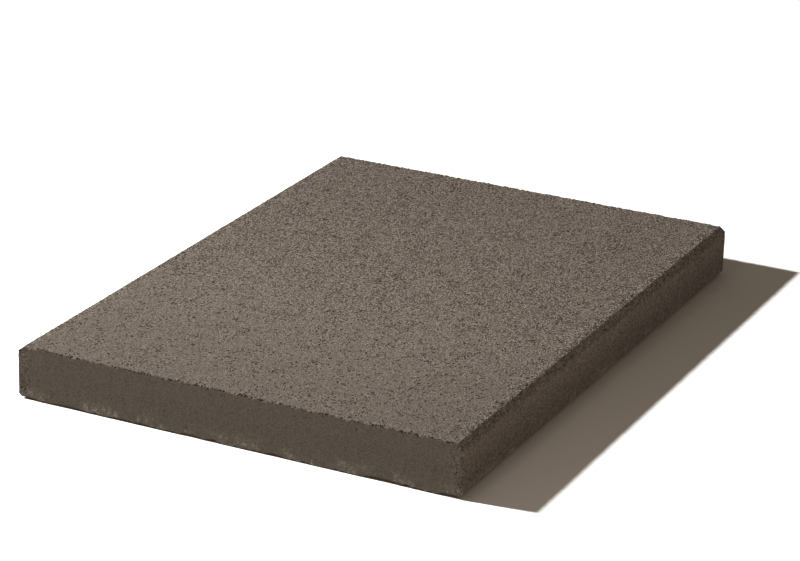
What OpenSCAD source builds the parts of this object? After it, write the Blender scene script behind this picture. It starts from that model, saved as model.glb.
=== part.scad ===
// Flat concrete wall coping stone, cast as one slab.
//
// The stone lies on its bed, as it does on a wall. It runs along the wall in Y, and its
// width in X spans the wall. The two long sides hang over the wall's faces, so their top
// arrises are chamfered. The two ends are plain, because they butt against the next stone.
//
// Origin: centre of the bed. +Y: along the wall. +Z: up, towards the weathered top face.
// All sizes are in millimetres.

/* [Slab] */
// Length along the wall
slab_length = 490; // [300:5:1000]
// Width across the wall
slab_width = 350; // [200:5:500]
// Thickness, from the bed to the top face
slab_thickness = 40; // [30:1:80]

/* [Top arrises of the long sides] */
// Width of each chamfer, measured across the top face
chamfer_width = 5; // [2:0.5:12]
// Height of each chamfer, measured down the side
chamfer_height = 5; // [2:0.5:12]

/* [Bed arrises] */
// Radius that eases the bed arris of each long side
ease_radius = 5; // [1:0.5:10]
// How high the deepest spall reaches up an end face
spall_height = 2.4; // [1:0.2:5]
// Half the length of the longest spall
spall_half_length = 15; // [8:1:25]

/* [Hidden] */

stone_colour = [0.45, 0.41, 0.37];
$fn = 96;

// How far a cutter runs past the face that it opens
past = 1;

// The spalls along the bed arris of one end. Each row holds the distance of the spall's
// middle from a long side, then its length and its height as shares of the longest
// spall's length and the deepest spall's height. The distance counts from the left side
// where it is positive and from the right side where it is negative.
NEAR_END_SPALLS = [
    [8, 0.70, 0.70],
    [42, 1.00, 0.65],
    [86, 0.60, 0.45],
    [140, 0.55, 0.85],
    [-60, 0.95, 1.00],
    [-9, 0.65, 0.80],
];
FAR_END_SPALLS = [
    [11, 0.75, 0.85],
    [63, 0.55, 0.60],
    [127, 0.90, 0.70],
    [-98, 0.65, 0.95],
    [-37, 0.85, 0.50],
];

// What is left of a square bed arris below its easing: the corner outside a quarter circle.
module arris_cutter(radius) {
    difference() {
        translate([-past, -past]) square(radius + past);
        translate([radius, radius]) circle(radius);
    }
}

// One lower corner of the section, seen along the wall: the easing at the left side.
module eased_corner() {
    translate([-slab_width / 2, 0]) arris_cutter(ease_radius);
}

// One upper corner of the section: the triangle that the left side's chamfer takes off.
module chamfered_corner() {
    slope = chamfer_height / chamfer_width;
    translate([-slab_width / 2, slab_thickness])
        polygon([
            [-past, -chamfer_height - past * slope],
            [chamfer_width + past / slope, past],
            [-past, past],
        ]);
}

// The section across the wall, in X and Z.
module section() {
    difference() {
        translate([-slab_width / 2, 0]) square([slab_width, slab_thickness]);
        for (side = [0, 1])
            mirror([side, 0]) {
                eased_corner();
                chamfered_corner();
            }
    }
}

// A spall: the ball that leaves a scallop of this half length and height on a bed arris
// that lies along X through the origin. Its centre is set_off outside both faces.
module spall_ball(half_length, height) {
    set_off = (half_length * half_length - height * height) / (2 * height);
    ball_radius = sqrt(half_length * half_length + 2 * set_off * set_off);
    translate([0, -set_off, -set_off]) sphere(ball_radius);
}

// The spalls of the end that faces -Y.
module end_spalls(rows) {
    for (row = rows) {
        from_middle = row[0] > 0 ? row[0] - slab_width / 2 : slab_width / 2 + row[0];
        translate([from_middle, -slab_length / 2, 0])
            spall_ball(row[1] * spall_half_length, row[2] * spall_height);
    }
}

module coping_stone() {
    color(stone_colour)
        difference() {
            rotate([90, 0, 0])
                linear_extrude(slab_length, center = true) section();
            end_spalls(NEAR_END_SPALLS);
            mirror([0, 1, 0]) end_spalls(FAR_END_SPALLS);
        }
}

coping_stone();
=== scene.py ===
"""Looks for a flat concrete wall coping stone.

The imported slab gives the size. One piece, coping_stone_cast, stands for it: the same slab
with its open grain, ragged arrises, spalls and easing as real relief. All lengths are in
metres unless a name ends in _mm.
"""

import math

import bmesh
import bpy
import numpy as np
from mathutils import Matrix, Vector


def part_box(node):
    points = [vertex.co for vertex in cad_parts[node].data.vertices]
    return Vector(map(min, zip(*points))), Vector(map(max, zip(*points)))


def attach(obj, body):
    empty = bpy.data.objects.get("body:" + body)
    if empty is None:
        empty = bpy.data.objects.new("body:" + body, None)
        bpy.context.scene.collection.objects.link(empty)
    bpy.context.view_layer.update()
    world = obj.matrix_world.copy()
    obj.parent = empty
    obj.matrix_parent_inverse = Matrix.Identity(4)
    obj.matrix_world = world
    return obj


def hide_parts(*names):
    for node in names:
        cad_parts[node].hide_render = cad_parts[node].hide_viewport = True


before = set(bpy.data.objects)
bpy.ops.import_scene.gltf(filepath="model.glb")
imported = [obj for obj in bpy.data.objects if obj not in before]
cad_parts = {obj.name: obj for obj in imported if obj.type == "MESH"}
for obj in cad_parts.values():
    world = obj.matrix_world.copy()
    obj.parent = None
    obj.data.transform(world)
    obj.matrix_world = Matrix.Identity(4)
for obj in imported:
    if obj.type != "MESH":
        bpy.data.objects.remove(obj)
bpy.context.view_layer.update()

# ---------------------------------------------------------------- sizes of the stone

MM = 0.001
NODE = "coping_stone"
low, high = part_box(NODE)
WIDTH = high.x - low.x
LENGTH = high.y - low.y
THICKNESS = high.z - low.z
HALF_WIDTH = WIDTH / 2
HALF_LENGTH = LENGTH / 2

# The chamfers on top and the easing of the bed are both one margin wide
MARGIN = 5 * MM
FLAT_X = HALF_WIDTH - MARGIN
FLAT_Y = HALF_LENGTH - MARGIN
CHAMFER_FOOT = THICKNESS - MARGIN
CORNER_RADIUS = 0.6 * MM

# How far from a face a place may lie and still count as on it
TOUCH = 0.01 * MM

# Cells of the relief mesh, stretch by stretch; a tuple is divided in turn
CELLS_IN_MARGIN = 3
TOP_COLUMNS = (20, 7)
TOP_ROWS = (22, 9)
SIDE_ROWS = (5, 3)
# Beside the ragged arrises the cells are halved in a wide band, and again in a narrow one
WIDE_BAND = 5 * MM
NARROW_BAND = 1.7 * MM

# How far the crumbling, the wear and the ragged bed reach from their arrises
CRUMBLE_REACH = 2.8 * MM
WEAR_REACH = 3 * MM
UPRIGHT_REACH = 4 * MM
BED_REACH = 7 * MM
# How much the chamfers' top arrises and the far end have crumbled, as shares of the near end
CHAMFER_CRUMBLE = 0.35
FAR_CRUMBLE = 0.45
# How much the upright corners are worn, as a share of the chamfers' feet
UPRIGHT_WEAR = 0.3

# The spalls along the bed arris of each end: distance of the middle from the left side (+) or
# the right side (-), then half length and height as shares of the largest
SPALL_HALF_LENGTH = 15 * MM
SPALL_HEIGHT = 2.4 * MM
NEAR_SPALLS = [
    (8, 0.70, 0.70),
    (42, 1.00, 0.65),
    (86, 0.60, 0.45),
    (140, 0.55, 0.85),
    (-60, 0.95, 1.00),
    (-9, 0.65, 0.80),
]
FAR_SPALLS = [
    (11, 0.75, 0.85),
    (63, 0.55, 0.60),
    (127, 0.90, 0.70),
    (-98, 0.65, 0.95),
    (-37, 0.85, 0.50),
]


# ---------------------------------------------------------------- modelling helpers

def start_edit(piece):
    """Makes piece the only selected object and opens it in edit mode."""
    bpy.ops.object.select_all(action="DESELECT")
    bpy.context.view_layer.objects.active = piece
    piece.select_set(True)
    bpy.ops.object.mode_set(mode="EDIT")


def select_edges(piece, wanted):
    """In edit mode, selects the edges for which wanted(first corner, second corner) holds."""
    bpy.ops.mesh.select_mode(type="EDGE")
    bpy.ops.mesh.select_all(action="DESELECT")
    mesh = bmesh.from_edit_mesh(piece.data)
    for edge in mesh.edges:
        edge.select_set(wanted(edge.verts[0].co, edge.verts[1].co))
    mesh.select_flush_mode()
    bmesh.update_edit_mesh(piece.data)


def select_faces(piece, wanted):
    """In edit mode, selects the faces for which wanted(middle, normal) holds."""
    bpy.ops.mesh.select_mode(type="FACE")
    bpy.ops.mesh.select_all(action="DESELECT")
    mesh = bmesh.from_edit_mesh(piece.data)
    mesh.normal_update()
    for face in mesh.faces:
        face.select_set(wanted(face.calc_center_median(), face.normal))
    mesh.select_flush_mode()
    bmesh.update_edit_mesh(piece.data)


def mark_line(axis, at):
    """Cuts the whole surface along the plane where that axis has that value."""
    normal = [0, 0, 0]
    normal[axis] = 1
    point = [0, 0, 0]
    point[axis] = at
    bpy.ops.mesh.select_all(action="SELECT")
    bpy.ops.mesh.bisect(plane_co=point, plane_no=normal)


def divide(piece, axis, start, stop, cells):
    """Divides every edge along that axis between start and stop into that many cells."""
    others = [i for i in range(3) if i != axis]

    def along(a, b):
        middle = (a[axis] + b[axis]) / 2
        straight = all(abs(a[i] - b[i]) < TOUCH for i in others)
        return straight and start - TOUCH < middle < stop + TOUCH

    for share in cells:
        select_edges(piece, along)
        bpy.ops.mesh.subdivide(number_cuts=share - 1)


def corners(piece):
    """The places of the piece's vertices, as rows of x, y, z."""
    places = np.empty(len(piece.data.vertices) * 3, np.float32)
    piece.data.vertices.foreach_get("co", places)
    return places.reshape(-1, 3).astype(float)


def move_corners(piece, places):
    """Puts the piece's vertices at these places."""
    piece.data.vertices.foreach_set("co", places.astype(np.float32).ravel())
    piece.data.update()


def weigh(piece, name, weights):
    """A vertex group of the piece with these weights, one for each vertex."""
    group = piece.vertex_groups.new(name=name)
    steps = np.round(np.clip(weights, 0, 1), 2)
    for step in np.unique(steps[steps > 0]):
        members = np.flatnonzero(steps == step)
        group.add(members.tolist(), float(step), "REPLACE")


def press_in(piece, group, direction, pattern, depth, level):
    """Moves the group's vertices by a pattern: its value less level, times depth."""
    relief = piece.modifiers.new(group, "DISPLACE")
    relief.vertex_group = group
    relief.direction = direction
    relief.texture = pattern
    relief.texture_coords = "LOCAL"
    relief.strength = depth
    relief.mid_level = level
    bpy.ops.object.modifier_apply(modifier=relief.name)


def cloudy(name, size, depth=2):
    """A cloudy pattern whose lumps are about that size."""
    pattern = bpy.data.textures.new(name, "CLOUDS")
    pattern.noise_scale = size
    pattern.noise_depth = depth
    pattern.noise_basis = "ORIGINAL_PERLIN"
    return pattern


def grainy(name, size):
    """A pattern of round grains of about that size: 1 in the middle of each, less between them."""
    pattern = bpy.data.textures.new(name, "VORONOI")
    pattern.noise_scale = size
    pattern.noise_intensity = 1
    pattern.weight_1 = 1
    pattern.use_color_ramp = False
    return pattern


# ---------------------------------------------------------------- the slab's form

def block_out():
    """The slab as a box divided into the cells that carry the relief, open under its middle."""
    bpy.ops.object.select_all(action="DESELECT")
    bpy.ops.mesh.primitive_cube_add(size=1, location=(0, 0, THICKNESS / 2))
    slab = bpy.context.object
    slab.name = "coping_stone_cast"
    slab.data.name = slab.name
    slab.scale = (WIDTH, LENGTH, THICKNESS)
    bpy.ops.object.transform_apply(location=True, rotation=False, scale=True)
    start_edit(slab)
    for side in (-1, 1):
        mark_line(0, side * FLAT_X)
        mark_line(1, side * FLAT_Y)
    mark_line(2, MARGIN)
    mark_line(2, CHAMFER_FOOT)
    select_faces(
        slab,
        lambda middle, normal: normal.z < -0.5 and abs(middle.x) < FLAT_X and abs(middle.y) < FLAT_Y,
    )
    bpy.ops.mesh.delete(type="FACE")
    divide(slab, 0, -FLAT_X, FLAT_X, TOP_COLUMNS)
    divide(slab, 1, -FLAT_Y, FLAT_Y, TOP_ROWS)
    for side in (-1, 1):
        divide(slab, 0, *sorted((side * FLAT_X, side * HALF_WIDTH)), (CELLS_IN_MARGIN,))
        divide(slab, 1, *sorted((side * FLAT_Y, side * HALF_LENGTH)), (CELLS_IN_MARGIN,))
    divide(slab, 2, 0, MARGIN, (CELLS_IN_MARGIN,))
    divide(slab, 2, MARGIN, CHAMFER_FOOT, SIDE_ROWS)
    divide(slab, 2, CHAMFER_FOOT, THICKNESS, (CELLS_IN_MARGIN,))
    refine_arrises(slab, WIDE_BAND)
    refine_arrises(slab, NARROW_BAND)
    bpy.ops.object.mode_set(mode="OBJECT")
    return slab


def refine_arrises(slab, band):
    """Halves the cells within that distance of the ragged arrises."""
    def beside_arris(middle, normal):
        from_end = HALF_LENGTH - abs(middle.y)
        from_top = THICKNESS - middle.z
        from_side = HALF_WIDTH - abs(middle.x)
        end_arris = max(from_end, from_top) < band
        bed_arris = middle.z < 2 * band and from_end < TOUCH
        chamfer_arris = abs(from_side - MARGIN) < band and from_top < TOUCH
        upright = max(from_side, from_end) < band
        chamfer = max(from_side, from_top) < band and band == WIDE_BAND
        return end_arris or bed_arris or chamfer_arris or upright or chamfer

    select_faces(slab, beside_arris)
    bpy.ops.mesh.subdivide(number_cuts=1, ngon=False)


def pare_arrises(slab):
    """Turns the square arrises into the chamfers, the eased bed and the worn upright corners."""
    places = corners(slab)
    sign = np.sign(places[:, :2])
    x, y, z = np.abs(places[:, 0]), np.abs(places[:, 1]), places[:, 2].copy()

    over = np.maximum(x + z - (HALF_WIDTH + THICKNESS - MARGIN), 0) / 2
    x -= over
    z -= over

    x, z = round_off(x, z, HALF_WIDTH, 0, MARGIN)
    x, y = round_off(x, y, HALF_WIDTH, HALF_LENGTH, CORNER_RADIUS)
    move_corners(slab, np.column_stack([x * sign[:, 0], y * sign[:, 1], z]))


def round_off(a, b, a_end, b_end, radius):
    """Draws the points in a square corner at (a_end, b_end) back onto a quarter circle."""
    a_middle = a_end - radius
    b_middle = b_end - radius if b_end > 0 else b_end + radius
    towards_b = 1 if b_end > 0 else -1
    a_out = a - a_middle
    b_out = (b - b_middle) * towards_b
    distance = np.hypot(a_out, b_out)
    outside = (a_out > 0) & (b_out > 0) & (distance > radius)
    reach = np.where(outside, radius / np.maximum(distance, 1e-9), 1)
    return a_middle + a_out * reach, b_middle + b_out * reach * towards_b


def knock_spalls(slab):
    """Pushes the bed arris of each end out of the balls that leave its spalls."""
    places = corners(slab)
    for end, rows in ((-1, NEAR_SPALLS), (1, FAR_SPALLS)):
        for from_side, length_share, height_share in rows:
            half_length = length_share * SPALL_HALF_LENGTH
            height = height_share * SPALL_HEIGHT
            set_off = (half_length**2 - height**2) / (2 * height)
            radius = math.hypot(half_length, math.sqrt(2) * set_off)
            x = from_side * MM - math.copysign(HALF_WIDTH, from_side)
            middle = np.array([x, end * (HALF_LENGTH + set_off), -set_off])
            away = places - middle
            distance = np.linalg.norm(away, axis=1)
            inside = distance < radius
            places[inside] = middle + away[inside] * (radius / distance[inside])[:, None]
    move_corners(slab, places)


def weigh_relief(slab):
    """Gives the slab a vertex group for each kind of relief, heaviest where it is deepest.

    Gives back which corners of the bed the ragged arris may lift, and how far all are from their end.
    """
    places = corners(slab)
    x, y, z = np.abs(places[:, 0]), np.abs(places[:, 1]), places[:, 2]
    from_end = HALF_LENGTH - y
    from_top = THICKNESS - z
    on_top = from_top < TOUCH
    on_end = from_end < TOUCH
    on_bed = z < TOUCH

    end_arris = 1 - np.hypot(from_end, from_top) / CRUMBLE_REACH
    end_arris *= np.where(places[:, 1] > 0, FAR_CRUMBLE, 1)
    chamfer_top = 1 - np.hypot(x - FLAT_X, from_top) / CRUMBLE_REACH
    chamfer_foot = 1 - np.hypot(x - HALF_WIDTH, z - CHAMFER_FOOT) / WEAR_REACH
    upright = 1 - np.hypot(x - HALF_WIDTH, y - HALF_LENGTH) / UPRIGHT_REACH
    weigh(slab, "top_face", on_top)
    weigh(slab, "top_arrises", np.maximum(end_arris, CHAMFER_CRUMBLE * chamfer_top))
    weigh(slab, "worn_corners", np.maximum(chamfer_foot, UPRIGHT_WEAR * upright))
    weigh(slab, "struck_faces", ~on_top & (z > 0.5 * MM))
    weigh(slab, "bed_arris", np.where(on_bed, 1 - from_end / MARGIN, on_end * (1 - z / BED_REACH)))
    return on_bed & (from_end < 0.99 * MARGIN), from_end


def relief():
    """What is pressed in, in turn: group, direction, pattern, depth and level that stays put."""
    return [
        ("top_face", "Z", cloudy("lumps", 4.5 * MM, 1), 0.15 * MM, 0.75),
        ("top_face", "Z", cloudy("hollows", 14 * MM, 2), 0.2 * MM, 0.7),
        ("struck_faces", "NORMAL", cloudy("strike", 14 * MM, 2), 0.09 * MM, 0.8),
        ("worn_corners", "NORMAL", cloudy("wear", 5 * MM, 2), 1.6 * MM, 0.8),
        ("top_arrises", "Z", grainy("crumbs", 2.2 * MM), -2.6 * MM, 0.1),
        ("bed_arris", "Z", cloudy("bed_waves", 24 * MM, 4), 7 * MM, 0.50),
        ("bed_arris", "Z", grainy("bed_crumbs", 4 * MM), 2.4 * MM, 0.35),
    ]


def roughen(slab):
    """Presses the grain, the ragged arrises and the struck faces' unevenness into the slab."""
    lifted, from_end = weigh_relief(slab)
    bpy.ops.object.select_all(action="DESELECT")
    bpy.context.view_layer.objects.active = slab
    slab.select_set(True)
    for group, direction, pattern, depth, level in relief():
        press_in(slab, group, direction, pattern, depth, level)

    # The ragged bed arris tapers to the flat bed, and nothing leaves the slab's box
    places = corners(slab)
    least = 0.15 * MM * (1 - from_end[lifted] / MARGIN)
    places[lifted, 2] = np.clip(places[lifted, 2], least, SPALL_HEIGHT)
    box_low = np.array([-HALF_WIDTH, -HALF_LENGTH, 0])
    box_high = np.array([HALF_WIDTH, HALF_LENGTH, THICKNESS])
    move_corners(slab, np.clip(places, box_low, box_high))


def close_bed(slab):
    """Fills the open middle of the bed with one flat face."""
    start_edit(slab)
    bpy.ops.mesh.select_mode(type="EDGE")
    bpy.ops.mesh.select_all(action="DESELECT")
    bpy.ops.mesh.select_non_manifold()
    bpy.ops.mesh.edge_face_add()
    bpy.ops.mesh.select_all(action="SELECT")
    bpy.ops.mesh.normals_make_consistent(inside=False)
    bpy.ops.object.mode_set(mode="OBJECT")


def assign_finish(slab, finish, wanted):
    """Gives that material to the faces for which wanted(middle, normal) holds."""
    slab.data.materials.append(finish)
    slab.active_material_index = len(slab.data.materials) - 1
    select_faces(slab, wanted)
    bpy.ops.object.material_slot_assign()


def finish_faces(slab):
    """Gives each face of the square block its finish."""
    def on_top(middle, normal):
        return normal.z > 0.5 and abs(middle.x) < FLAT_X

    start_edit(slab)
    assign_finish(slab, struck_concrete(), lambda middle, normal: True)
    assign_finish(slab, open_concrete(), on_top)
    assign_finish(slab, bed_concrete(), lambda middle, normal: normal.z < -0.5)
    bpy.ops.object.mode_set(mode="OBJECT")


def cast_slab():
    """The whole stone: blocked out, finished, pared, closed, roughened and spalled."""
    slab = block_out()
    close_bed(slab)
    finish_faces(slab)
    pare_arrises(slab)
    roughen(slab)
    knock_spalls(slab)
    start_edit(slab)
    bpy.ops.mesh.select_all(action="SELECT")
    bpy.ops.mesh.dissolve_degenerate(threshold=0.001 * MM)
    bpy.ops.object.mode_set(mode="OBJECT")
    bpy.ops.object.select_all(action="DESELECT")
    bpy.context.view_layer.objects.active = slab
    slab.select_set(True)
    bpy.ops.object.shade_smooth()
    return slab


# ---------------------------------------------------------------- node helpers

def put(tree, kind, inputs=None, **settings):
    """Adds a node; each input is given a plain value or another node's output."""
    node = tree.nodes.new(kind)
    for name, value in settings.items():
        setattr(node, name, value)
    for name, value in (inputs or {}).items():
        if isinstance(value, bpy.types.NodeSocket):
            tree.links.new(value, node.inputs[name])
        else:
            node.inputs[name].default_value = value
    return node


def work_out(tree, operation, *values):
    """One step of arithmetic on outputs or plain numbers."""
    return put(tree, "ShaderNodeMath", dict(enumerate(values)), operation=operation).outputs[0]


def ramp(tree, value, start, stop, low_end=0.0, high_end=1.0):
    """Takes a value from start..stop to low_end..high_end with a soft start and stop."""
    inputs = {
        "Value": value,
        "From Min": start,
        "From Max": stop,
        "To Min": low_end,
        "To Max": high_end,
    }
    return put(tree, "ShaderNodeMapRange", inputs, interpolation_type="SMOOTHSTEP").outputs[0]


def tint(tree, mode, factor, under, over):
    """Lays one colour over another with that blend mode and factor."""
    mixer = put(tree, "ShaderNodeMix", data_type="RGBA", blend_type=mode)
    for socket, value in ((mixer.inputs[0], factor), (mixer.inputs[6], under), (mixer.inputs[7], over)):
        if isinstance(value, bpy.types.NodeSocket):
            tree.links.new(value, socket)
        else:
            socket.default_value = value
    return mixer.outputs[2]


def noise(tree, place, size, detail=2.0, roughness=0.5):
    """Cloudy noise from 0 to 1 whose lumps are about that size."""
    inputs = {"Vector": place, "Scale": size, "Detail": detail, "Roughness": roughness}
    if not isinstance(size, bpy.types.NodeSocket):
        inputs["Scale"] = 1 / size
    return put(tree, "ShaderNodeTexNoise", inputs).outputs["Fac"]


def new_group(name, inputs, outputs):
    """A shader node group with these labelled inputs and outputs, and its two ends."""
    group = bpy.data.node_groups.new(name, "ShaderNodeTree")
    for label, kind in inputs:
        group.interface.new_socket(name=label, in_out="INPUT", socket_type=kind)
    for label, kind in outputs:
        group.interface.new_socket(name=label, in_out="OUTPUT", socket_type=kind)
    return group, group.nodes.new("NodeGroupInput").outputs, group.nodes.new("NodeGroupOutput").inputs


def use_group(tree, name, inputs):
    """Places a node group in a tree with its own values and gives its outputs."""
    node = tree.nodes.new("ShaderNodeGroup")
    node.node_tree = bpy.data.node_groups[name]
    for label, value in inputs.items():
        if isinstance(value, bpy.types.NodeSocket):
            tree.links.new(value, node.inputs[label])
        else:
            node.inputs[label].default_value = value
    return node.outputs


# ---------------------------------------------------------------- the stone's finish

FLOAT = "NodeSocketFloat"
VECTOR = "NodeSocketVector"


def stray_group():
    """Draws a place aside by a share of one cell, so that cells lose their regular outlines."""
    group, given, result = new_group(
        "stray",
        [("Place", VECTOR), ("Cells per Metre", FLOAT), ("Share", FLOAT)],
        [("Place", VECTOR)],
    )
    wander = put(
        group,
        "ShaderNodeTexNoise",
        {"Vector": given["Place"], "Scale": given["Cells per Metre"], "Detail": 1.0},
    ).outputs["Color"]
    centred = put(group, "ShaderNodeVectorMath", {0: wander, 1: (0.5, 0.5, 0.5)}, operation="SUBTRACT")
    reach = work_out(group, "DIVIDE", given["Share"], given["Cells per Metre"])
    aside = put(group, "ShaderNodeVectorMath", {0: centred.outputs[0], "Scale": reach}, operation="SCALE")
    moved = put(group, "ShaderNodeVectorMath", {0: given["Place"], 1: aside.outputs[0]}, operation="ADD")
    group.links.new(moved.outputs[0], result["Place"])


def sand_grain_group():
    """Sand grains in paste: the height of each, the gaps between them and a tone for each."""
    group, given, result = new_group(
        "sand_grain",
        [("Place", VECTOR), ("Grains per Metre", FLOAT)],
        [("Height", FLOAT), ("Gap", FLOAT), ("Tone", FLOAT)],
    )
    place = use_group(
        group,
        "stray",
        {"Place": given["Place"], "Cells per Metre": given["Grains per Metre"], "Share": 0.5},
    )
    cells = put(
        group, "ShaderNodeTexVoronoi", {"Vector": place["Place"], "Scale": given["Grains per Metre"]}
    ).outputs
    parts = put(group, "ShaderNodeSeparateColor", {"Color": cells["Color"]}).outputs
    dome = ramp(group, cells["Distance"], 0.75, 0.0)
    standing = ramp(group, parts[0], 0.0, 1.0, 0.35, 1.0)
    group.links.new(work_out(group, "MULTIPLY", dome, standing), result["Height"])
    group.links.new(ramp(group, cells["Distance"], 0.32, 0.62), result["Gap"])
    group.links.new(parts[1], result["Tone"])


def pores_group():
    """Small ragged pores, scattered: 1 inside a pore and 0 outside."""
    group, given, result = new_group(
        "pores",
        [
            ("Place", VECTOR),
            ("Spots per Metre", FLOAT),
            ("Radius Share", FLOAT),
            ("Share Left Out", FLOAT),
        ],
        [("Pore", FLOAT)],
    )
    place = use_group(
        group,
        "stray",
        {"Place": given["Place"], "Cells per Metre": given["Spots per Metre"], "Share": 0.5},
    )
    cells = put(
        group, "ShaderNodeTexVoronoi", {"Vector": place["Place"], "Scale": given["Spots per Metre"]}
    ).outputs
    parts = put(group, "ShaderNodeSeparateColor", {"Color": cells["Color"]}).outputs
    kept = work_out(group, "GREATER_THAN", parts[0], given["Share Left Out"])
    size = work_out(group, "MULTIPLY", given["Radius Share"], ramp(group, parts[1], 0, 1, 0.5, 1))
    inner = work_out(group, "MULTIPLY", size, 0.5)
    spot = ramp(group, cells["Distance"], size, inner)
    group.links.new(work_out(group, "MULTIPLY", spot, kept), result["Pore"])


def reach_group():
    """How far a place on the stone is from its ends, its sides, its top and its bed."""
    labels = ["From End", "From Side", "From Top", "From Bed"]
    group, given, result = new_group("reach", [("Place", VECTOR)], [(label, FLOAT) for label in labels])
    parts = put(group, "ShaderNodeSeparateXYZ", {0: given["Place"]}).outputs
    from_side = work_out(group, "SUBTRACT", HALF_WIDTH, work_out(group, "ABSOLUTE", parts[0]))
    from_end = work_out(group, "SUBTRACT", HALF_LENGTH, work_out(group, "ABSOLUTE", parts[1]))
    from_top = work_out(group, "SUBTRACT", THICKNESS, parts[2])
    for label, value in zip(labels, (from_end, from_side, from_top, parts[2])):
        group.links.new(value, result[label])


def start_finish(name):
    """A material with a Principled shader for dry concrete and the place on the stone."""
    finish = bpy.data.materials.new(name)
    finish.use_nodes = True
    tree = finish.node_tree
    shader = tree.nodes["Principled BSDF"]
    shader.inputs["Specular IOR Level"].default_value = 0.3
    place = put(tree, "ShaderNodeTexCoord").outputs["Object"]
    return finish, tree, shader, place


def raise_bump(tree, shader, height, depth):
    """Bumps the shader's surface by a height from 0 to 1, times depth."""
    bump = put(tree, "ShaderNodeBump", {"Height": height, "Distance": depth, "Strength": 1.0})
    tree.links.new(bump.outputs["Normal"], shader.inputs["Normal"])


def sand(tree, place, per_metre):
    """Sand grains, so many to the metre: outputs Height, Gap and Tone."""
    return use_group(tree, "sand_grain", {"Place": place, "Grains per Metre": per_metre})


def scatter_pores(tree, place, per_metre, radius_share, left_out):
    """Pores in so many cells to the metre, their radius in cells and the share of cells without."""
    inputs = {
        "Place": place,
        "Spots per Metre": per_metre,
        "Radius Share": radius_share,
        "Share Left Out": left_out,
    }
    return use_group(tree, "pores", inputs)["Pore"]


def stretch(tree, place, scale):
    """The place, drawn out or in along each axis."""
    return put(tree, "ShaderNodeMapping", {"Vector": place, "Scale": scale}).outputs[0]


def notches_group():
    """Where grains have broken out along a square arris: 1 in a notch, 0 away from the arris."""
    group, given, result = new_group(
        "notches", [("Place", VECTOR), ("From Arris", FLOAT), ("Depth", FLOAT)], [("Notch", FLOAT)]
    )
    lost = scatter_pores(group, given["Place"], 400.0, 0.95, 0.30)
    ragged = work_out(group, "MULTIPLY", noise(group, given["Place"], 9 * MM), 2.0)
    limit = work_out(group, "MULTIPLY", given["Depth"], ragged)
    beside = ramp(group, work_out(group, "DIVIDE", given["From Arris"], limit), 1.0, 0.5)
    group.links.new(work_out(group, "MULTIPLY", lost, beside), result["Notch"])


# Linear colours: the cement paste, the darkest and the lightest sand, painted shade in the gaps
# between grains and in the bed's pores, painted shade in the pores with a reddish tint, painted shade in
# the notches, the rust of stray iron grains, the warm haze over rough patches, and fresh pale paste
PASTE = (0.205, 0.168, 0.137, 1)
DARK_SAND = (0.040, 0.027, 0.018, 1)
LIGHT_SAND = (0.42, 0.363, 0.310, 1)
CAVITY_SHADE = (0.045, 0.030, 0.020, 1)
PORE_SHADE = (0.032, 0.014, 0.006, 1)
NOTCH_SHADE = (0.056, 0.032, 0.020, 1)
RUST = (0.10, 0.052, 0.028, 1)
HAZE = (1.05, 0.955, 0.85, 1)
PALE = (0.46, 0.40, 0.34, 1)


def open_level(tree, along, across):
    """The top face's general tone: palest across the middle, darker to the ends and the right."""
    near = ramp(tree, along, -0.95 * HALF_LENGTH, 0, 0.50, 0.745)
    far = ramp(tree, along, 0, 0.95 * HALF_LENGTH, 0, -0.08)
    right = ramp(tree, across, 0.3 * HALF_WIDTH, 0.95 * HALF_WIDTH, 0, -0.05)
    return work_out(tree, "ADD", work_out(tree, "ADD", near, far), right)


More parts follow.
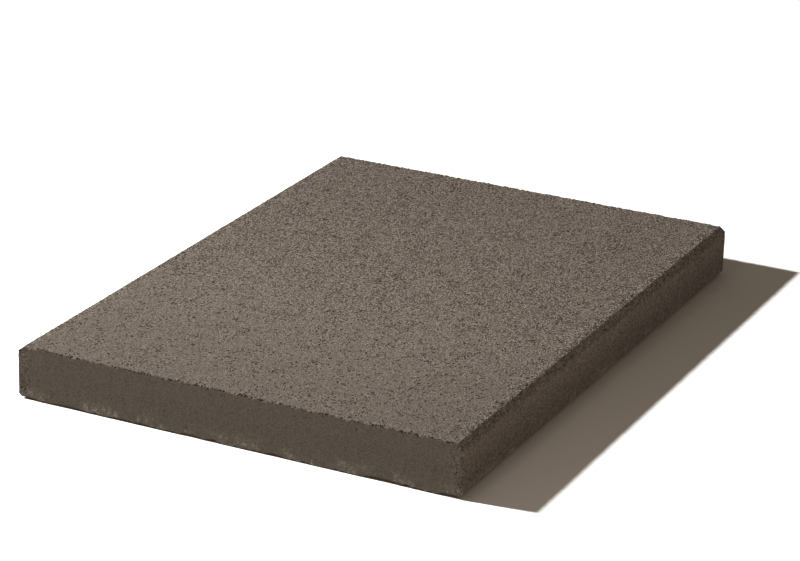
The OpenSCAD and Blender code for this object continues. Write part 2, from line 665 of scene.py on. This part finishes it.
def open_concrete():
    """The top face: sand grains laid bare, smooth here and there, elsewhere rough and pitted."""
    finish, tree, shader, place = start_finish("open_concrete")
    drawn = stretch(tree, place, (1.1, 0.8, 1.0))
    grain = sand(tree, drawn, 850.0)
    coarse = sand(tree, place, 480.0)
    reach = use_group(tree, "reach", {"Place": place})
    across, along, _ = put(tree, "ShaderNodeSeparateXYZ", {0: place}).outputs
    rough = ramp(tree, noise(tree, place, 12 * MM, 4.0, 0.6), 0.42, 0.68)
    # This share only grows from the near end to the far end; it raises the grains' contrast and the
    # painted shade in their gaps
    wear = ramp(tree, along, -0.9 * HALF_LENGTH, 0.1 * HALF_LENGTH, 0.85, 1.4)
    beside = ramp(tree, reach["From Side"], MARGIN + 12 * MM, MARGIN)

    # Each grain's own tone, with more contrast where the face is rough, towards the far end and
    # beside the chamfers
    own = work_out(tree, "SUBTRACT", work_out(tree, "POWER", grain["Tone"], 0.6), 0.62)
    contrast = work_out(tree, "MULTIPLY", ramp(tree, rough, 0, 1, 0.37, 0.75), wear)
    tone = work_out(tree, "MULTIPLY_ADD", own, contrast, open_level(tree, along, across))
    pebbled = work_out(tree, "MULTIPLY", work_out(tree, "SUBTRACT", coarse["Tone"], 0.45), beside)
    tone = work_out(tree, "MULTIPLY_ADD", pebbled, 0.9, tone)
    tone = work_out(tree, "MULTIPLY_ADD", rough, 0.10, tone)
    colour = tint(tree, "MIX", tone, DARK_SAND, LIGHT_SAND)

    # What lies between and over the grains: painted shade in the gaps and in the pits, a warm haze and
    # specks of rust
    gap_shade = work_out(tree, "MULTIPLY", work_out(tree, "MULTIPLY", grain["Gap"], 0.56), wear)
    colour = tint(tree, "MIX", gap_shade, colour, CAVITY_SHADE)
    # The pits are painted dark: painted shade in their hollows
    pits = scatter_pores(tree, drawn, 600.0, 0.62, ramp(tree, rough, 0, 1, 0.86, 0.42))
    colour = tint(tree, "MIX", pits, colour, PORE_SHADE)
    haze = ramp(tree, noise(tree, place, 7 * MM), 0.4, 0.75, 0.1, 0.3)
    haze = work_out(tree, "MAXIMUM", haze, work_out(tree, "MULTIPLY", rough, 0.3))
    colour = tint(tree, "MULTIPLY", haze, colour, HAZE)
    rust = scatter_pores(tree, place, 150.0, 0.26, 0.82)
    colour = tint(tree, "MIX", rust, colour, RUST)
    # Painted shade in the notches where grains broke out beside the ends' arrises
    notch = use_group(
        tree, "notches", {"Place": place, "From Arris": reach["From End"], "Depth": 1.4 * MM}
    )["Notch"]
    colour = tint(tree, "MIX", notch, colour, NOTCH_SHADE)
    tree.links.new(colour, shader.inputs["Base Color"])
    shader.inputs["Roughness"].default_value = 0.9

    height = work_out(tree, "MULTIPLY", grain["Height"], ramp(tree, rough, 0, 1, 0.5, 1.0))
    height = work_out(tree, "MULTIPLY_ADD", coarse["Height"], ramp(tree, beside, 0, 1, 0.15, 0.9), height)
    height = work_out(tree, "MULTIPLY_ADD", pits, -1.5, height)
    height = work_out(tree, "MULTIPLY_ADD", notch, -2.0, height)
    raise_bump(tree, shader, height, 0.6 * MM)
    return finish


def struck_tone(tree, place, grain, reach, corner, upper):
    """The struck faces' tone about 1: blotches, streaks, grains and a shade for each stretch."""
    blotch = ramp(tree, noise(tree, place, 4 * MM), 0.3, 0.7, 0.975, 1.025)
    streaky = stretch(tree, place, (1.0, 1.0, 0.12))
    streak = ramp(tree, noise(tree, streaky, 2.5 * MM), 0.3, 0.7, 0.96, 1.04)
    tone = work_out(tree, "MULTIPLY", blotch, streak)

    # The grains show most on the sides and beside the upright corners
    beside = ramp(tree, reach["From Side"], 1.4 * MARGIN, MARGIN)
    bared = work_out(tree, "MAXIMUM", beside, corner)
    own = work_out(tree, "SUBTRACT", grain["Tone"], 0.5)
    own = work_out(tree, "MULTIPLY_ADD", own, ramp(tree, bared, 0, 1, 0.36, 0.88), 1.0)
    tone = work_out(tree, "MULTIPLY", tone, own)

    # The chamfers and what is just below them are darker, with coarser crumbs
    tone = work_out(tree, "MULTIPLY", tone, ramp(tree, upper, 0, 1, 1.0, 0.78))
    crumb = sand(tree, place, 520.0)
    uneven = work_out(tree, "MULTIPLY", ramp(tree, crumb["Tone"], 0, 1, -0.2, 0.25), upper)
    tone = work_out(tree, "MULTIPLY_ADD", tone, uneven, tone)

    # The sides grow darker towards the bed, and all struck faces paler towards the top
    low_side = ramp(tree, reach["From Bed"], 4 * MM, CHAMFER_FOOT, 0.86, 1.08)
    low_side = work_out(tree, "MULTIPLY", work_out(tree, "SUBTRACT", low_side, 1.0), beside)
    tone = work_out(tree, "MULTIPLY_ADD", tone, low_side, tone)
    return work_out(tree, "MULTIPLY", tone, ramp(tree, reach["From Bed"], 18 * MM, 32 * MM, 1.0, 1.06))


def paste_smears(tree, place, reach):
    """Paste dragged up from the bed as the mould was lifted: 1 in a smear and 0 elsewhere."""
    cloud = ramp(tree, noise(tree, place, 14 * MM, 2.0), 0.46, 0.60)
    cloud = work_out(tree, "MULTIPLY", cloud, ramp(tree, reach["From Bed"], 11 * MM, 2 * MM))
    dragged = stretch(tree, place, (1.0, 1.0, 0.5))
    fleck = ramp(tree, noise(tree, dragged, 2 * MM, 3.0, 0.75), 0.50, 0.64, 0.12, 1.0)
    return work_out(tree, "MULTIPLY", cloud, fleck)


def struck_pores(tree, place, reach, corner, upper):
    """Pores: few on the ends, more on the sides, towards the chamfers and the upright corners."""
    on_side = ramp(tree, reach["From Side"], 8 * MM, 2 * MM, 0.0, 0.45)
    on_side = work_out(tree, "MAXIMUM", on_side, work_out(tree, "MULTIPLY", upper, 0.7))
    crowd = work_out(tree, "MAXIMUM", corner, on_side)
    return scatter_pores(tree, place, 420.0, 0.50, ramp(tree, crowd, 0, 1, 0.985, 0.58))


def struck_concrete():
    """Ends, sides and chamfers: close-grained from the mould, with small pores and paste smears."""
    finish, tree, shader, place = start_finish("struck_concrete")
    grain = sand(tree, place, 1000.0)
    reach = use_group(tree, "reach", {"Place": place})
    corner = ramp(tree, work_out(tree, "MAXIMUM", reach["From End"], reach["From Side"]), 16 * MM, 2 * MM)
    upper = ramp(tree, work_out(tree, "MAXIMUM", reach["From Top"], reach["From Side"]), 9 * MM, 3 * MM)

    tone = struck_tone(tree, place, grain, reach, corner, upper)
    colour = tint(tree, "MULTIPLY", 1.0, PASTE, tone)
    smear = paste_smears(tree, place, reach)
    colour = tint(tree, "MIX", smear, colour, PALE)
    # The pores are painted dark: painted shade in their hollows, with a reddish tint
    pores = struck_pores(tree, place, reach, corner, upper)
    colour = tint(tree, "MIX", work_out(tree, "MULTIPLY", pores, 0.75), colour, PORE_SHADE)
    # Painted shade in the notches where grains broke out below the top arrises
    notch = use_group(
        tree, "notches", {"Place": place, "From Arris": reach["From Top"], "Depth": 1.0 * MM}
    )["Notch"]
    lost = work_out(tree, "MULTIPLY", notch, ramp(tree, reach["From Side"], MARGIN, 1.6 * MARGIN, 0.3, 1))
    colour = tint(tree, "MIX", lost, colour, NOTCH_SHADE)
    tree.links.new(colour, shader.inputs["Base Color"])
    shader.inputs["Roughness"].default_value = 0.88

    height = work_out(tree, "MULTIPLY", grain["Height"], ramp(tree, upper, 0, 1, 0.15, 0.9))
    height = work_out(tree, "SUBTRACT", height, pores)
    height = work_out(tree, "MULTIPLY_ADD", smear, 0.5, height)
    raise_bump(tree, shader, height, 0.5 * MM)
    return finish


def bed_concrete():
    """The bed, which lay on the pallet: flat and close, with a few pores."""
    finish, tree, shader, place = start_finish("bed_concrete")
    blotch = noise(tree, place, 12 * MM, 3.0)
    colour = tint(tree, "MULTIPLY", 1.0, PASTE, ramp(tree, blotch, 0.3, 0.7, 0.85, 1.12))
    pore = scatter_pores(tree, place, 160.0, 0.30, 0.6)
    # The bed's pores are painted dark: painted shade in their hollows
    colour = tint(tree, "MIX", pore, colour, CAVITY_SHADE)
    tree.links.new(colour, shader.inputs["Base Color"])
    shader.inputs["Roughness"].default_value = 0.88
    height = work_out(tree, "SUBTRACT", work_out(tree, "MULTIPLY", blotch, 0.4), pore)
    raise_bump(tree, shader, height, 0.5 * MM)
    return finish


# ---------------------------------------------------------------- floor, light and camera

# The floor: its size, how far it lies below the bed, and where it turns to plain white
FLOOR_SIZE = 8
FLOOR_GAP = 0.8 * MM
WHITE_STARTS = 0.42
WHITE_FROM = 0.52
# Its colour as the camera sees it, and as the stone feels it
FLOOR_SHOWN = (0.592, 0.517, 0.443, 1)
FLOOR_FELT = (0.110, 0.095, 0.073, 1)

# The key's place, and its radius, which softens the shadow's edge
KEY_PLACE = (-0.775, -0.361, 0.70)
KEY_RADIUS = 0.03

# The camera's lens and place, and how it is turned, in degrees
SENSOR_MM = 36
LENS_MM = 139.14
CAMERA_PLACE = (0.947, -1.9553, 0.8732)
CAMERA_HEADING = 25.693
CAMERA_DIP = 20.946
CAMERA_ROLL = 1.672


def only_for(lamp, *pieces):
    """That lamp lights only these pieces."""
    group = bpy.data.collections.new(lamp.name + "_receivers")
    for piece in pieces:
        group.objects.link(piece)
    lamp.light_linking.receiver_collection = group


def aim(thing, target):
    """Points a lamp at a place."""
    thing.rotation_euler = (Vector(target) - thing.location).to_track_quat("-Z", "Y").to_euler()


def round_lamp(name, place, radius, watts, colour=(1, 1, 1)):
    """A small round lamp."""
    light = bpy.data.lights.new(name, "POINT")
    light.shadow_soft_size = radius
    light.energy = watts
    light.color = colour
    lamp = bpy.data.objects.new(name, light)
    lamp.location = place
    bpy.context.scene.collection.objects.link(lamp)
    return lamp


def soft_box(name, azimuth, elevation, distance, size, watts, colour=(1, 1, 1)):
    """A large soft lamp that looks at the stone from that side and height."""
    turn, rise = math.radians(azimuth), math.radians(elevation)
    place = Vector((math.sin(turn) * math.cos(rise), -math.cos(turn) * math.cos(rise), math.sin(rise)))
    light = bpy.data.lights.new(name, "AREA")
    light.shape = "DISK"
    light.size = size
    light.energy = watts
    light.color = colour
    lamp = bpy.data.objects.new(name, light)
    lamp.location = place * distance
    aim(lamp, (0, 0, 0))
    bpy.context.scene.collection.objects.link(lamp)
    return lamp


def studio_floor():
    """A pale floor that keeps the shadow, turns white further out and is clear from beneath."""
    bpy.ops.object.select_all(action="DESELECT")
    bpy.ops.mesh.primitive_plane_add(size=FLOOR_SIZE, location=(0, 0, -FLOOR_GAP))
    floor = bpy.context.object
    floor.name = "studio_floor"
    finish = bpy.data.materials.new("studio_floor")
    finish.use_nodes = True
    tree = finish.node_tree
    tree.nodes.clear()
    seen = put(tree, "ShaderNodeLightPath").outputs["Is Camera Ray"]
    place = put(tree, "ShaderNodeTexCoord").outputs["Object"]
    reach = put(tree, "ShaderNodeVectorMath", {0: place}, operation="LENGTH").outputs["Value"]
    far = ramp(tree, reach, WHITE_STARTS, WHITE_FROM)
    shown = put(tree, "ShaderNodeBsdfDiffuse")
    shown.inputs["Color"].default_value = FLOOR_SHOWN
    felt = put(tree, "ShaderNodeBsdfDiffuse")
    felt.inputs["Color"].default_value = FLOOR_FELT
    white = put(tree, "ShaderNodeEmission", {"Strength": seen})
    near = put(tree, "ShaderNodeMixShader", {0: seen, 1: felt.outputs[0], 2: shown.outputs[0]})
    whole = put(tree, "ShaderNodeMixShader", {0: far, 1: near.outputs[0], 2: white.outputs[0]})
    beneath = put(tree, "ShaderNodeNewGeometry").outputs["Backfacing"]
    clear = put(tree, "ShaderNodeBsdfTransparent")
    sided = put(tree, "ShaderNodeMixShader", {0: beneath, 1: whole.outputs[0], 2: clear.outputs[0]})
    put(tree, "ShaderNodeOutputMaterial", {"Surface": sided.outputs[0]})
    floor.data.materials.append(finish)
    return floor


def far_key(name, watts, colour, *pieces):
    """The key from the left: as if far off, it loses no strength on its way across the stone."""
    key = round_lamp(name, KEY_PLACE, KEY_RADIUS, watts, colour)
    key.data.use_nodes = True
    tree = key.data.node_tree
    even = put(tree, "ShaderNodeLightFalloff", {"Strength": 1.0})
    tree.links.new(even.outputs["Constant"], tree.nodes["Emission"].inputs["Strength"])
    only_for(key, *pieces)


def studio_light(stone, floor):
    """A key from the left, a warm soft box, a faint sky, and lamps for the floor and the bed."""
    far_key("key", 47.0, (1, 1, 1), stone)
    far_key("floor_key", 185.0, (0.78, 0.88, 1), floor)
    right_box = soft_box(
        "right_box",
        azimuth=62,
        elevation=16,
        distance=1.6,
        size=1.2,
        watts=3.3,
        colour=(1.12, 0.985, 0.86),
    )
    only_for(right_box, stone)
    near_fill = soft_box("near_fill", azimuth=45, elevation=22, distance=0.5, size=0.15, watts=0.047)
    only_for(near_fill, floor)
    top_fill = round_lamp("top_fill", place=(0.09, -0.30, 0.45), radius=0.08, watts=0.725)
    only_for(top_fill, floor)

    # The floor would hide this lamp from the bed, so the stone alone blocks its light
    bed_lamp = round_lamp("bed_lamp", place=(0, 0, -1.5), radius=0.1, watts=16)
    only_for(bed_lamp, stone)
    bed_lamp.light_linking.blocker_collection = bed_lamp.light_linking.receiver_collection
    studio_sky()


def studio_sky():
    """A faint, slightly warm sky, which the camera sees as plain white."""
    world = bpy.data.worlds.new("studio")
    bpy.context.scene.world = world
    world.use_nodes = True
    tree = world.node_tree
    tree.nodes.clear()
    seen = put(tree, "ShaderNodeLightPath")
    sky = put(tree, "ShaderNodeBackground", {"Strength": 0.18})
    backdrop = put(tree, "ShaderNodeBackground", {"Strength": 1.0})
    sky.inputs["Color"].default_value = (1.08, 1.0, 0.90, 1)
    backdrop.inputs["Color"].default_value = (1, 1, 1, 1)
    by_ray = put(
        tree,
        "ShaderNodeMixShader",
        {0: seen.outputs["Is Camera Ray"], 1: sky.outputs[0], 2: backdrop.outputs[0]},
    )
    put(tree, "ShaderNodeOutputWorld", {"Surface": by_ray.outputs[0]})


def studio_camera():
    """A long lens at the near right, looking down on the stone."""
    lens = bpy.data.cameras.new("camera")
    lens.sensor_width = SENSOR_MM
    lens.lens = LENS_MM
    camera = bpy.data.objects.new("camera", lens)
    heading = Matrix.Rotation(math.radians(CAMERA_HEADING), 3, "Z")
    dip = Matrix.Rotation(math.radians(90 - CAMERA_DIP), 3, "X")
    roll = Matrix.Rotation(math.radians(CAMERA_ROLL), 3, "Z")
    camera.location = CAMERA_PLACE
    camera.rotation_euler = (heading @ dip @ roll).to_euler()
    bpy.context.scene.collection.objects.link(camera)
    bpy.context.scene.camera = camera


# ---------------------------------------------------------------- the scene

stray_group()
sand_grain_group()
pores_group()
notches_group()
reach_group()
stone = cast_slab()
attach(stone, "root")
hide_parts(NODE)

floor = studio_floor()
studio_light(stone, floor)
studio_camera()
bpy.context.scene.view_settings.view_transform = "Standard"
